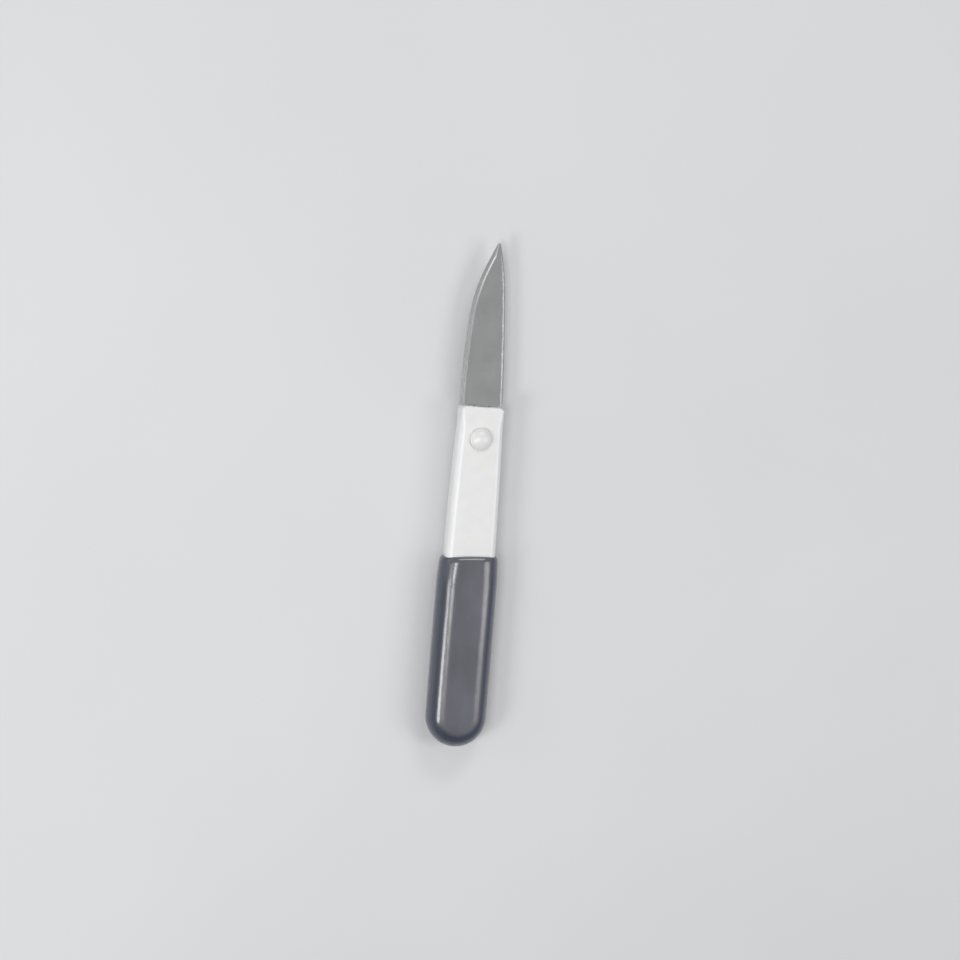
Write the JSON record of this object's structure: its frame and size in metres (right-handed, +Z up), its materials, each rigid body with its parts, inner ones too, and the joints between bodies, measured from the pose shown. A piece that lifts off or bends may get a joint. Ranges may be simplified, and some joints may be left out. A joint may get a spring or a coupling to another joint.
{
  "type": "swivel craft knife",
  "caption": "Slim craft knife whose pointed blade swivels about its long axis in a white two-shell handle with a sprung lock button and a grey soft grip sleeve.",
  "frame": {"origin": "on the surface that the knife lies on, under the middle of its length and width", "axes": "+Y along the knife towards the blade's tip, +Z up out of the front face through the lock button, +X to the right, towards the blade's spine"},
  "size_m": [0.0198, 0.165, 0.0133],
  "materials": {
    "white_shell": "satin moulded ABS",
    "white_button": "polished moulded plastic",
    "grey_sleeve": "glossy dipped soft vinyl",
    "blade_steel": "fine satin, ground bevel",
    "ground_steel": "ground",
    "bearing_steel": "polished",
    "spring_steel": "drawn wire and blued strip",
    "zinc_screw": "bright zinc",
    "bronze": "sintered, oiled",
    "cage_brass": "pressed",
    "acetal": "natural acetal",
    "black_rubber": "nitrile ring"
  },
  "bodies": {
    "handle": {"front_shell": "white_shell", "back_shell": "white_shell", "grip_sleeve": "grey_sleeve", "shell_screws": "zinc_screw", "locating_pins": "ground_steel", "nose_bush": "bronze", "bearing_outer_race": "bearing_steel", "bearing_shields": "bearing_steel", "spring_seat": "acetal"},
    "blade_spindle": {"blade": "blade_steel", "spindle": "ground_steel", "tang_pins": "ground_steel", "bearing_inner_race": "bearing_steel", "shim_washer": "ground_steel", "retaining_clip": "spring_steel", "drag_ring": "black_rubber"},
    "ball_set": {"bearing_balls": "bearing_steel", "ball_cage": "cage_brass"},
    "lock_button": {"button_cap": "white_button", "lock_pin": "ground_steel", "button_spring": "spring_steel"}
  },
  "joints": [
    {"name": "blade_swivel", "type": "hinge", "parent": "handle", "child": "blade_spindle", "pos_m": [0, 0, 0.0064], "axis": [0, 1, 0], "continuous": true},
    {"name": "ball_orbit", "type": "hinge", "parent": "handle", "child": "ball_set", "pos_m": [0, 0, 0.0064], "axis": [0, 1, 0], "continuous": true},
    {"name": "button_press", "type": "slide", "parent": "handle", "child": "lock_button", "axis": [0, 0, -1], "range_m": [0, 0.0009], "stiffness_N_per_m": 600, "springref_m": -0.002, "deforming": ["button_spring"]}
  ],
  "couplings": [
    {"joint": "ball_orbit", "follows": "blade_swivel", "ratio": 0.4}
  ]
}
